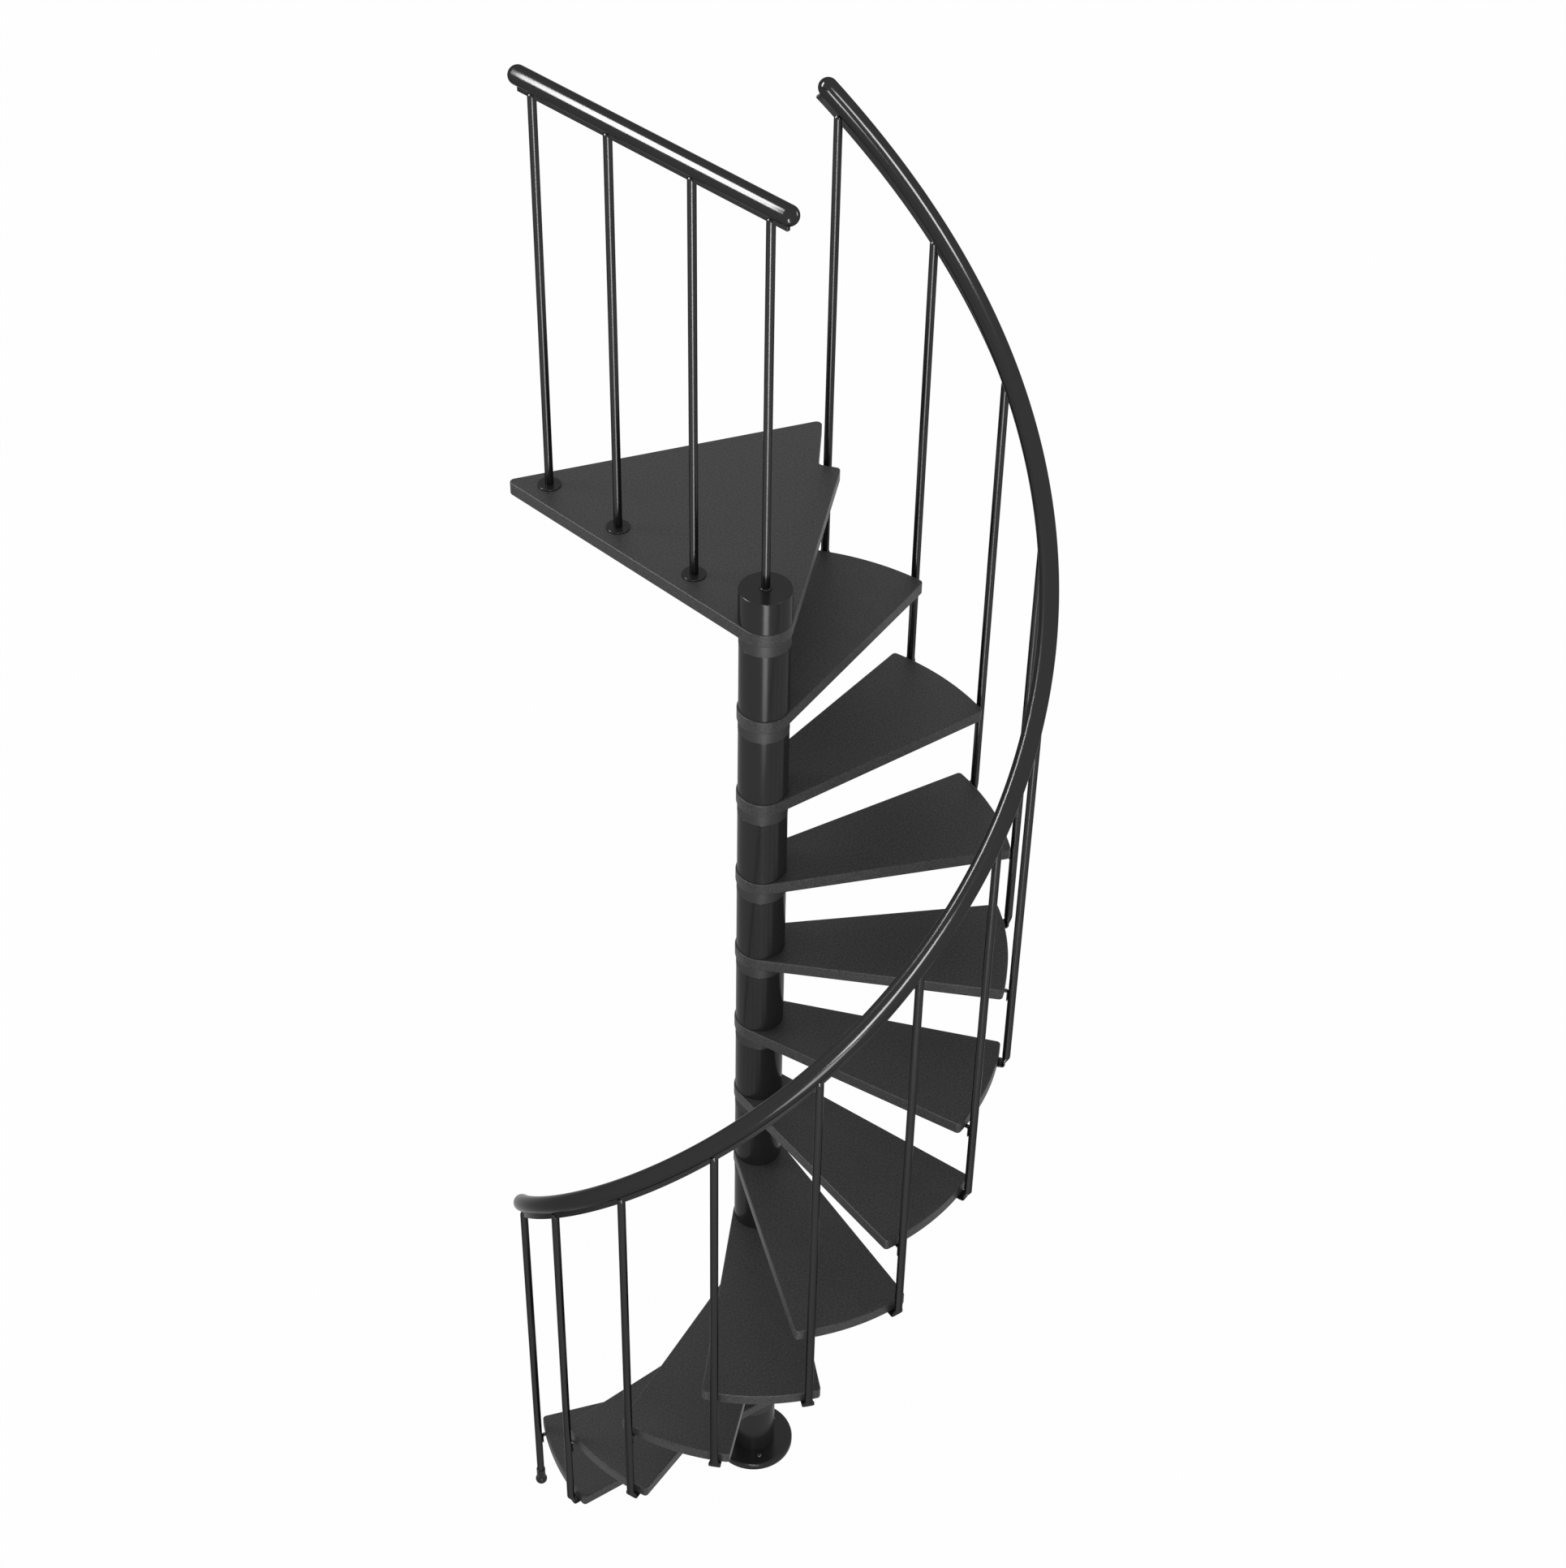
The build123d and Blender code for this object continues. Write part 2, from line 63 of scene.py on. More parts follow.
UP: Point = (0.0, 0.0, 1.0)
LEANING: Point = (0.566, 0.276, 0.777)  # long direction of the lamp that follows the landing's rail
HOLD = 0.0005  # from an edge to the ring of points that keeps the side beside it straight
FINE_HOLD = 0.0002  # the same on small fastenings
ROUND = 2.0  # squareness of a round section
NOISE_RANGE = (0.3, 0.7)  # values that a noise seldom leaves


class Slot(Enum):
    """Material slots of the record."""

    TREAD = "tread"
    BALUSTER = "baluster"
    COLUMN = "column"
    RING = "ring"
    CASTING = "casting"
    RAIL = "rail"
    BAR = "bar"
    CLIP = "clip"
    SCREW = "screw"


class Side(Enum):
    """Which way a plate's straight edge leaves the hub, seen from the column."""

    RIGHT = -1
    LEFT = 1


# ---------------------------------------------------------------- headings, profiles and skins
def facing(heading: float) -> Array:
    """Level unit vector along a heading, with its height 0."""
    return np.array([cos(radians(heading)), sin(radians(heading)), 0.0])


def rounded(corners: Array, rounds: Array, steps: int = 6, hold: float = 0.0004) -> Array:
    """Profile through corners, each turned by an arc.

    An arc of radius r touches both sides of its corner at r / tan(half the angle between them). Its points
    swing evenly from one touching point to the other, and one more point on each side holds the flats flat.

    Args:
        corners: corner points, with the two ends, as rows of two numbers.
        rounds: radius of each corner between the ends.
        steps: spans of each arc.
        hold: distance from an arc's end to the point that holds the flat.

    Returns:
        The profile's points as rows of two numbers, ends included.
    """
    corner, before, after = corners[1:-1], corners[:-2], corners[2:]
    back = (before - corner) / np.linalg.norm(before - corner, axis=1, keepdims=True)
    ahead = (after - corner) / np.linalg.norm(after - corner, axis=1, keepdims=True)
    half = np.arccos(np.clip((back * ahead).sum(1), -1.0, 1.0)) / 2.0
    reach = (rounds / np.tan(half))[:, None]
    middle = back + ahead
    middle /= np.linalg.norm(middle, axis=1, keepdims=True)
    centre = corner + middle * (rounds / np.sin(half))[:, None]
    start, end = corner + back * reach - centre, corner + ahead * reach - centre
    swing = (pi - 2.0 * half)[:, None, None]
    share = np.linspace(0.0, 1.0, steps + 1)[None, :, None]
    arc = np.sin((1.0 - share) * swing) * start[:, None] + np.sin(share * swing) * end[:, None]
    arc = arc / np.sin(swing) + centre[:, None]
    first = (corner + back * (reach + hold))[:, None]
    last = (corner + ahead * (reach + hold))[:, None]
    turned = np.concatenate([first, arc, last], axis=1).reshape(-1, 2)
    return np.concatenate([corners[:1], turned, corners[-1:]])


def wrap(rows: Array, ring: bool = False) -> Skin:
    """Closed skin over a grid of points whose columns close round the piece.

    Each grid cell becomes a face. The rows either close on themselves too, or each end row closes onto the
    point in its middle. The faces are turned over where the volume that they enclose comes out negative, so
    that they always point outwards.

    Args:
        rows: points as (rows, columns, 3).
        ring: whether the last row joins the first.

    Returns:
        The points and the faces between them.
    """
    count, around = rows.shape[:2]
    index = np.arange(count * around).reshape(count, around)
    lower = index if ring else index[:-1]
    upper = np.roll(index, -1, axis=0) if ring else index[1:]
    quads = np.stack([lower, np.roll(lower, -1, 1), np.roll(upper, -1, 1), upper], -1).reshape(-1, 4)
    points = rows.reshape(-1, 3)
    faces = quads.tolist()
    triangles = np.concatenate([quads[:, :3], quads[:, [0, 2, 3]]])
    if not ring:
        points = np.concatenate([points, rows[0].mean(0)[None], rows[-1].mean(0)[None]])
        low, high = np.full(around, len(points) - 2), np.full(around, len(points) - 1)
        under = np.stack([np.roll(index[0], -1), index[0], low], -1)
        over = np.stack([index[-1], np.roll(index[-1], -1), high], -1)
        ends = np.concatenate([under, over])
        faces += ends.tolist()
        triangles = np.concatenate([triangles, ends])
    a, b, c = (points[triangles[:, k]] for k in range(3))
    if (a * np.cross(b, c)).sum() < 0.0:
        faces = [face[::-1] for face in faces]
    return points, faces


def turned(profile: Array, axis_heading: float = 0.0, axis_radius: float = 0.0, around: int = 48) -> Skin:
    """Profile turned round an upright axis.

    A profile point (r, z) becomes the circle of radius r about the axis at height z.

    Args:
        profile: (radius, height) points; it closes on itself if it starts off the axis.
        axis_heading: heading of the axis about the column.
        axis_radius: distance of the axis from the column's.
        around: points round the circle.

    Returns:
        The closed skin.
    """
    turn = np.linspace(0.0, tau, around, endpoint=False)
    radius = profile[:, :1]
    height = np.broadcast_to(profile[:, 1:], (len(profile), around))
    rows = np.stack([radius * np.cos(turn), radius * np.sin(turn), height], -1)
    rows = rows + facing(axis_heading) * axis_radius
    return wrap(rows, ring=bool(profile[0, 0] > 0.0))


def disc(
    outer: float, low: float, high: float, edges: tuple[float, float], around: int = 48, steps: int = 6,
    heading: float = 0.0, radius: float = 0.0,
) -> Skin:
    """Round block on an upright axis, with its lower and upper edges rounded.

    Args:
        outer: its radius.
        low: height of its underside.
        high: height of its top.
        edges: radii of the lower and the upper edge.
        around: points round it.
        steps: spans of each rounded edge.
        heading: heading of its axis about the column.
        radius: distance of its axis from the column's.

    Returns:
        The closed skin.
    """
    corners = np.array([[0.0, low], [outer, low], [outer, high], [0.0, high]])
    return turned(rounded(corners, np.array(edges), steps), heading, radius, around)


def carried(
    centres: Array, across: Array, through: Array, sizes: Array, squareness: Array, around: int = 28
) -> Skin:
    """Rounded section carried along a line.

    At each station the section is a superellipse: with the angle t round it, it lies at |cos t| ** (2 / n)
    half widths across and |sin t| ** (2 / n) half depths through, each with its sign. It is a circle or an
    ellipse for n = 2 and nears a rectangle as n grows.

    Args:
        centres: stations of the line as (stations, 3).
        across: unit vectors along the section's width.
        through: unit vectors along its depth.
        sizes: half width and half depth at each station.
        squareness: n at each station.
        around: points round the section.

    Returns:
        The closed skin.
    """
    turn = np.linspace(0.0, tau, around, endpoint=False)[None, :]
    power = 2.0 / squareness[:, None]
    wide = np.sign(np.cos(turn)) * np.abs(np.cos(turn)) ** power * sizes[:, :1]
    deep = np.sign(np.sin(turn)) * np.abs(np.sin(turn)) ** power * sizes[:, 1:]
    return wrap(centres[:, None] + across[:, None] * wide[..., None] + through[:, None] * deep[..., None])


def round_top(radius: float, height: float, steps: int = 6) -> tuple[Array, Array]:
    """Rings of a rod's round top: at the angle t their radius is cos t rods and their rise sin t rods.

    One more ring just below them holds the rod's side straight.

    Args:
        radius: the rod's radius.
        height: height at which the round top starts.
        steps: spans from there to the tip.

    Returns:
        Heights and radii of the rings, without the tip.
    """
    swing = np.linspace(0.0, pi / 2, steps + 1)[:-1]
    rise, radii = height + radius * np.sin(swing), radius * np.cos(swing)
    return np.concatenate([[height - HOLD], rise]), np.concatenate([[radius], radii])


def made(
    name: str, skins: list[Skin], replaced: list[str], finish: bpy.types.Material
) -> bpy.types.Object:
    """One object from skins, which rides on the stair and stands for CAD nodes.

    Args:
        name: the object's name.
        skins: closed skins that it is made of.
        replaced: the CAD nodes that it stands for.
        finish: its material.

    Returns:
        The object.
    """
    starts = np.cumsum([0] + [len(points) for points, _ in skins]).tolist()
    faces = [[corner + start for corner in face] for (_, part), start in zip(skins, starts) for face in part]
    mesh = bpy.data.meshes.new(name)
    mesh.from_pydata(np.concatenate([points for points, _ in skins]), [], faces)
    mesh.shade_smooth()
    mesh.materials.append(finish)
    piece = bpy.data.objects.new(name, mesh)
    bpy.context.scene.collection.objects.link(piece)
    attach(piece, BODY)
    if replaced:
        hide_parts(*replaced)
    LOG.info("%s: %d faces", name, len(mesh.polygons))
    return piece


# ---------------------------------------------------------------- finishes
class Nodes:
    """Short way to put nodes in a material and join them."""

    def __init__(self, name: str) -> None:
        """Makes an empty material with one principled shader.

        Args:
            name: the material's name.
        """
        self.material = bpy.data.materials.new(name)
        self.material.use_nodes = True
        self.tree = self.material.node_tree
        self.shader = self.tree.nodes["Principled BSDF"]
        self.place = self.add("ShaderNodeTexCoord")

    def add(self, kind: str, **values: object) -> bpy.types.Node:
        """Adds a node.

        Args:
            kind: the node's type.
            values: its properties, or its sockets by name with _ for a space.

        Returns:
            The node.
        """
        node = self.tree.nodes.new(kind)
        for key, value in values.items():
            socket = node.inputs.get(key.replace("_", " "))
            if socket is None:
                setattr(node, key, value)
            else:
                socket.default_value = value
        return node

    def join(self, source: bpy.types.Node, output: str, target: bpy.types.Node, entry: str) -> None:
        """Joins an output to an input, both by name."""
        self.tree.links.new(source.outputs[output], target.inputs[entry])

    def spread(self, source: bpy.types.Node, low: float, high: float, entry: str) -> None:
        """Drives one of the shader's numbers from a noise.

        Args:
            source: the noise.
            low: the number where the noise is low.
            high: the number where it is high.
            entry: the shader's socket.
        """
        self.join(self.span(source, low, high), "Result", self.shader, entry)

    def span(self, source: bpy.types.Node, low: float, high: float) -> bpy.types.Node:
        """Range node that stretches a noise between a low and a high value.

        Args:
            source: the noise.
            low: value where the noise is low.
            high: value where it is high.

        Returns:
            The node.
        """
        least, most = NOISE_RANGE
        span = self.add("ShaderNodeMapRange", From_Min=least, From_Max=most, To_Min=low, To_Max=high)
        self.join(source, "Fac", span, "Value")
        return span

    def noise(self, size: float, **values: float) -> bpy.types.Node:
        """Noise in the piece's own space, with features of about a size in metres.

        Args:
            size: the features' size.
            values: more of the node's sockets.

        Returns:
            The node.
        """
        noise = self.add("ShaderNodeTexNoise", Scale=1.0 / size, **values)
        self.join(self.place, "Object", noise, "Vector")
        return noise

    def tint(self, source: bpy.types.Node, output: str, low: float, high: float) -> None:
        """Drives the shader's colour between two greys.

        Args:
            source: node that drives it from 0 to 1.
            output: the node's output.
            low: the grey at 0.
            high: the grey at 1.
        """
        blend = self.add("ShaderNodeMix", data_type="RGBA")
        blend.inputs["A"].default_value = shade(low)
        blend.inputs["B"].default_value = shade(high)
        self.join(source, output, blend, "Factor")
        self.join(blend, "Result", self.shader, "Base Color")

    def bump(self, source: bpy.types.Node, strength: float, depth: float) -> None:
        """Raises the surface by a noise.

        Args:
            source: the noise.
            strength: share of the depth that shows.
            depth: how far the noise lifts the surface, in metres.
        """
        bump = self.add("ShaderNodeBump", Strength=strength, Distance=depth)
        self.join(source, "Fac", bump, "Height")
        self.join(bump, "Normal", self.shader, "Normal")


def shade(grey: float) -> tuple[float, float, float, float]:
    """Linear colour of a grey."""
    return (grey, grey, grey, 1.0)


@dataclass(frozen=True)
class PowderCoat:
    """Matt textured coat: a fine grain with its own mottling, and a slightly uneven gloss in patches."""

    name: str = "powder_coat"
    grey: float = 0.034
    mottling: float = 0.54
    roughness: float = 0.5
    unevenness: float = 0.03
    specular: float = 0.25
    grain: float = 0.0045
    depth: float = 0.00007
    patch: float = 0.035

    def material(self) -> bpy.types.Material:
        """Builds the coat.

        Returns:
            The material.
        """
        nodes = Nodes(self.name)
        patches = nodes.noise(self.patch, Detail=4.0, Roughness=0.6)
        grain = nodes.noise(self.grain, Detail=3.0, Roughness=0.55)
        dark, light = self.grey * (1.0 - self.mottling), self.grey * (1.0 + self.mottling)
        nodes.tint(nodes.span(grain, 0.0, 1.0), "Result", dark, light)
        nodes.bump(grain, 0.8, self.depth)
        nodes.spread(patches, self.roughness - self.unevenness, self.roughness + self.unevenness, "Roughness")
        nodes.shader.inputs["Specular IOR Level"].default_value = self.specular
        return nodes.material


@dataclass(frozen=True)
class Enamel:
    """Black gloss paint on steel: even colour, a trace of orange peel, faint dull patches and dark flanks."""

    name: str
    grey: float
    roughness: float
    metal: float
    flank: float
    peel: float = 0.009
    depth: float = 0.000003
    patch: float = 1.0 / 6.0
    tinting: float = 0.05
    unevenness: float = 0.12

    def material(self) -> bpy.types.Material:
        """Builds the paint.

        Returns:
            The material.
        """
        nodes = Nodes(self.name)
        peel = nodes.noise(self.peel, Detail=2.0, Roughness=0.5)
        dull = nodes.noise(self.patch, Detail=5.0, Roughness=0.6)
        nodes.tint(peel, "Fac", self.grey * (1.0 - self.tinting), self.grey * (1.0 + self.tinting))
        nodes.bump(peel, 0.5, self.depth)
        glossy, duller = self.roughness * (1.0 - self.unevenness), self.roughness * (1.0 + self.unevenness)
        nodes.spread(dull, glossy, duller, "Roughness")
        nodes.shader.inputs["Metallic"].default_value = self.metal
        nodes.shader.inputs["Specular IOR Level"].default_value = 0.0
        nodes.shader.inputs["Specular Tint"].default_value = shade(self.flank)
        return nodes.material


@dataclass(frozen=True)
class Plating:
    """Dark plated steel of the small fastenings."""

    name: str = "dark_plating"
    grey: float = 0.12
    roughness: float = 0.35
    unevenness: float = 0.08
    metal: float = 0.9
    grain: float = 1.0 / 420.0

    def material(self) -> bpy.types.Material:
        """Builds the plating.

        Returns:
            The material.
        """
        nodes = Nodes(self.name)
        worn = nodes.noise(self.grain, Detail=3.0)
        nodes.spread(worn, self.roughness - self.unevenness, self.roughness + self.unevenness, "Roughness")
        nodes.shader.inputs["Base Color"].default_value = shade(self.grey)
        nodes.shader.inputs["Metallic"].default_value = self.metal
        return nodes.material


# ---------------------------------------------------------------- sizes shared by the sub-assemblies
@dataclass(frozen=True)
class Flight:
    """How the stair climbs: sizes that several sub-assemblies share."""

    rise: float = 0.225
    levels: int = 12
    step_angle: float = 22.0
    landing_heading: float = 68.0
    plate: float = 0.030
    hub: float = 0.0562
    reach: float = 0.541
    half_wedge: float = 14.45
    rod: float = 0.009
    rod_circle: float = 0.5578
    rod_lead: float = 11.0
    rail_height: float = 0.8606
    rail_rise: float = 0.2238
    guard_heading: float = 116.15
    guard_height: float = 0.9284
    cap_height: float = 0.076

    @property
    def landing_top(self) -> float:
        """Height of the landing's walking surface."""
        return self.rise * self.levels

    def tread_heading(self, level: int) -> float:
        """Heading of the middle of the tread on a level."""
        return self.landing_heading - self.step_angle * (self.levels - level)

    def rod_heading(self, number: int) -> float:
        """Heading of a rod of the flight; rod 0 stands at the start."""
        return self.tread_heading(0) + self.rod_lead + self.step_angle * number

    def rail_line(self, steps: Array | float) -> Array | float:
        """Height of the spiral rail's centre line, some steps after the first rod."""
        return self.rise + self.rail_height + self.rail_rise * steps


@dataclass(frozen=True)
class Arc:
    """Part of a plate's outline: an arc about a centre, over a range of the outline's outward headings.

    A negative radius makes an inside corner, and a straight edge runs wherever one arc ends on the heading
    that the next one starts from.
    """

    centre: tuple[float, float]
    radius: float
    first: float
    last: float
    steps: int = 8

    def points(self) -> Array:
        """Points of the arc: the centre plus the radius times the outward unit vector.

        Returns:
            Rows of x, y and the outward unit vector's x and y.
        """
        turn = np.radians(np.linspace(self.first, self.last, self.steps + 1))
        out = np.stack([np.cos(turn), np.sin(turn)], -1)
        return np.concatenate([np.array(self.centre) + self.radius * out, out], 1)


def meeting(first: tuple[float, float], last: tuple[float, float], inset: float) -> tuple[float, float]:
    """Point at one inset from two straight edges.

    An edge is its outward heading and its distance from the column. Both distances shrink by the inset, and
    the two equations x cos h + y sin h = distance give the point.

    Args:
        first: outward heading and distance of one edge.
        last: the same of the other.
        inset: how far inside both edges the point lies.

    Returns:
        The point.
    """
    sides = np.array([[cos(radians(heading)), sin(radians(heading))] for heading, _ in (first, last)])
    x, y = np.linalg.solve(sides, np.array([first[1] - inset, last[1] - inset]))
    return float(x), float(y)


def on_circle(radius: float, edge: tuple[float, float], side: Side, inset: float) -> float:
    """Heading of the point of a circle about the column that lies at an inset from a straight edge.

    The edge's distance less the inset, over the radius, is the cosine of the angle to its outward heading.

    Args:
        radius: the circle's radius.
        edge: outward heading and distance of the edge.
        side: RIGHT for the point anticlockwise of a right edge's heading, LEFT for the other.
        inset: how far inside the edge the point lies.

    Returns:
        The heading.
    """
    return edge[0] - side.value * degrees(acos((edge[1] - inset) / radius))


@dataclass(frozen=True)
class Plate:
    """Flat plate with rounded edges and a bore for the post."""

    underside: float
    thickness: float
    arcs: list[Arc]
    bore: float = 0.0215
    edge: float = 0.0025
    inward: float = 0.006

    def skin(self, turn: float = 0.0) -> Skin:
        """Skin of the plate.

        A row of points is the outline moved in along its outward vectors by a profile's inset, at the
        profile's height. The profile rounds both edges. Two more rings at each face, along the headings of
        the outline's points, carry the skin to the bore.

        Args:
            turn: heading that the plate's own +X is turned to.

        Returns:
            The closed skin.
        """
        outline = np.concatenate([arc.points() for arc in self.arcs])
        low, high = self.underside, self.underside + self.thickness
        corners = np.array([[self.inward, low], [0.0, low], [0.0, high], [self.inward, high]])
        profile = rounded(corners, np.full(2, self.edge))
        level = outline[None, :, :2] - profile[:, None, :1] * outline[None, :, 2:]
        height = np.broadcast_to(profile[:, None, 1:], level.shape[:2] + (1,))
        rim = np.concatenate([level, height], -1)
        ray = outline[:, :2] / np.linalg.norm(outline[:, :2], axis=1, keepdims=True)
        held = self.bore + HOLD
        circles = [(self.bore, low), (held, low), (held, high), (self.bore, high)]
        bore = [np.concatenate([ray * radius, np.full((len(ray), 1), at)], 1)[None] for radius, at in circles]
        rows = np.concatenate([bore[0], bore[1], rim, bore[2], bore[3]])
        spin = np.array(Matrix.Rotation(radians(turn), 3, "Z"))
        return wrap(rows @ spin.T, ring=True)


# ---------------------------------------------------------------- sub-assemblies
@dataclass
class Treads:
    """The wedge treads and the landing."""

    flight: Flight
    finish: bpy.types.Material
    corner: float = 0.009
    landing_depth: float = 0.6155
    landing_left: float = 0.363
    landing_right: float = 0.346
    notch_heading: float = 58.7
    notch_round: float = 0.012

    def wedge(self) -> list[Arc]:
        """Outline of a tread along +X: the nosing between its two corners, and the hub.

        Returns:
            The outline's arcs, anticlockwise.
        """
        flight, radius = self.flight, self.flight.reach
        side = self.flight.half_wedge + degrees(acos(flight.hub / radius))
        turn = on_circle(radius - self.corner, (side, flight.hub), Side.LEFT, self.corner)
        x, y = (radius - self.corner) * cos(radians(turn)), (radius - self.corner) * sin(radians(turn))
        return [
            Arc((x, -y), self.corner, -side, -turn),
            Arc((0.0, 0.0), radius, -turn, turn, 24),
            Arc((x, y), self.corner, turn, side),
            Arc((0.0, 0.0), flight.hub, side, 360.0 - side, 28),
        ]

    def landing(self) -> list[Arc]:
        """Outline of the landing: its nosing, the inside corner, the wall's two corners and the hub.

        Returns:
            The outline's arcs, anticlockwise.
        """
        flight, radius, small, large = self.flight, self.flight.reach, self.corner, self.notch_round
        nosing = flight.landing_heading - flight.half_wedge
        right = (nosing - degrees(acos(flight.hub / radius)), flight.hub)
        wall = (90.0, self.landing_depth)
        far = hypot(self.landing_depth, self.landing_left)
        left = (degrees(atan2(self.landing_depth, -self.landing_left) + acos(flight.hub / far)), flight.hub)
        notch = radius * facing(self.notch_heading)
        run = np.array([self.landing_right, self.landing_depth, 0.0]) - notch
        beside_heading = degrees(atan2(run[1], run[0])) - 90.0
        beside = (beside_heading, float(notch @ facing(beside_heading)))
        start = on_circle(radius - small, right, Side.RIGHT, small)
        inside = on_circle(radius + large, beside, Side.RIGHT, -large)
        first, hollow = (radius - small) * facing(start), (radius + large) * facing(inside)
        return [
            Arc((first[0], first[1]), small, right[0], start),
            Arc((0.0, 0.0), radius, start, inside, 6),
            Arc((hollow[0], hollow[1]), -large, inside, beside[0], 10),
            Arc(meeting(beside, wall, large), large, beside[0], wall[0], 10),
            Arc(meeting(wall, left, large), large, wall[0], left[0], 10),
            Arc((0.0, 0.0), flight.hub, left[0], right[0] + 360.0, 24),
        ]

    def build(self) -> None:
        """Makes each tread and the landing."""
        flight = self.flight
        for level in range(1, flight.levels):
            plate = Plate(level * flight.rise - flight.plate, flight.plate, self.wedge())
            skin = plate.skin(flight.tread_heading(level))
            made(f"tread_board_{level:02d}", [skin], [f"tread_{level:02d}"], self.finish)
        plate = Plate(flight.landing_top - flight.plate, flight.plate, self.landing())
        made("landing_board", [plate.skin()], ["landing_plate"], self.finish)


@dataclass
class Column:
    """The base, the sleeves and rings between the treads, and the cap."""

    flight: Flight
    gloss: bpy.types.Material
    satin: bpy.types.Material
    plated: bpy.types.Material
    bore: float = 0.0215
    sleeve: float = 0.0532
    sleeve_round: float = 0.0006
    ring: float = 0.0536
    ring_height: float = 0.028
    ring_round: float = 0.001
    base: float = 0.0995
    base_height: float = 0.018
    base_rounds: tuple[float, float] = (0.0008, 0.008)
    cap: float = 0.055
    cap_rounds: tuple[float, float] = (0.0005, 0.002)
    post: float = 0.021
    post_drop: float = 0.040
    post_rounds: tuple[float, float] = (0.0005, 0.0005)
    bolts: int = 3
    bolt_circle: float = 0.069
    bolt_heading: float = 263.5
    bolt_shank: float = 0.0042
    bolt_depth: float = 0.010
    bolt_head: float = 0.0058
    bolt_rise: float = 0.003
    bolt_dome: float = 0.8
    bolt_edge: float = 0.0003

    def tube(self, outer: float, low: float, high: float, edge: float) -> Skin:
        """Tube round the post between two heights.

        Args:
            outer: its outer radius.
            low: height of its lower end.
            high: height of its upper end.
            edge: radius of its two outer edges.

        Returns:
            The closed skin.
        """
        corners = np.array([[self.bore, low], [outer, low], [outer, high], [self.bore, high]])
        return turned(rounded(corners, np.full(2, edge)), around=64)

    def bolt(self, heading: float) -> Skin:
        """Floor bolt with a domed head on the base.

        Args:
            heading: its heading about the column.

        Returns:
            The closed skin.
        """
        seat = self.base_height
        tip, top = seat - self.bolt_depth, seat + self.bolt_rise
        corners = np.array([
            [0.0, tip], [self.bolt_shank, tip], [self.bolt_shank, seat],
            [self.bolt_head, seat], [self.bolt_head, top], [0.0, top],
        ])
        edges = np.array([self.bolt_edge, self.bolt_edge, self.bolt_edge, self.bolt_rise * self.bolt_dome])
        return turned(rounded(corners, edges, hold=FINE_HOLD), heading, self.bolt_circle, around=24)

    def build(self) -> None:
        """Makes the sleeves, the rings, the cap, the base with its bolts, and the post."""
        flight = self.flight
        low, high = flight.landing_top, flight.landing_top + flight.cap_height
        below = flight.plate + self.ring_height
        walks = [level * flight.rise for level in range(1, flight.levels + 1)]
        tops, bottoms = [walk - below for walk in walks], [self.base_height] + walks[:-1]
        sleeves = [self.tube(self.sleeve, *span, self.sleeve_round) for span in zip(bottoms, tops)]
        rings = [self.tube(self.ring, top, top + self.ring_height, self.ring_round) for top in tops]
        cap = disc(self.cap, low, high, self.cap_rounds, around=72)
        base = disc(self.base, 0.0, self.base_height, self.base_rounds, around=96, steps=12)
        bolts = [self.bolt(self.bolt_heading + 360.0 / self.bolts * number) for number in range(self.bolts)]
        core = disc(self.post, self.base_height, high - self.post_drop, self.post_rounds)
        made("sleeves", sleeves, ["column_spacers"], self.gloss)
        made("rings", rings, ["column_rings"], self.satin)
        made("cap", [cap], ["top_cap"], self.gloss)
        made("base_plate", [base], ["base_flange"], self.gloss)
        made("base_bolts", bolts, [], self.plated)
        made("post_core", [core], ["centre_post"], self.gloss)


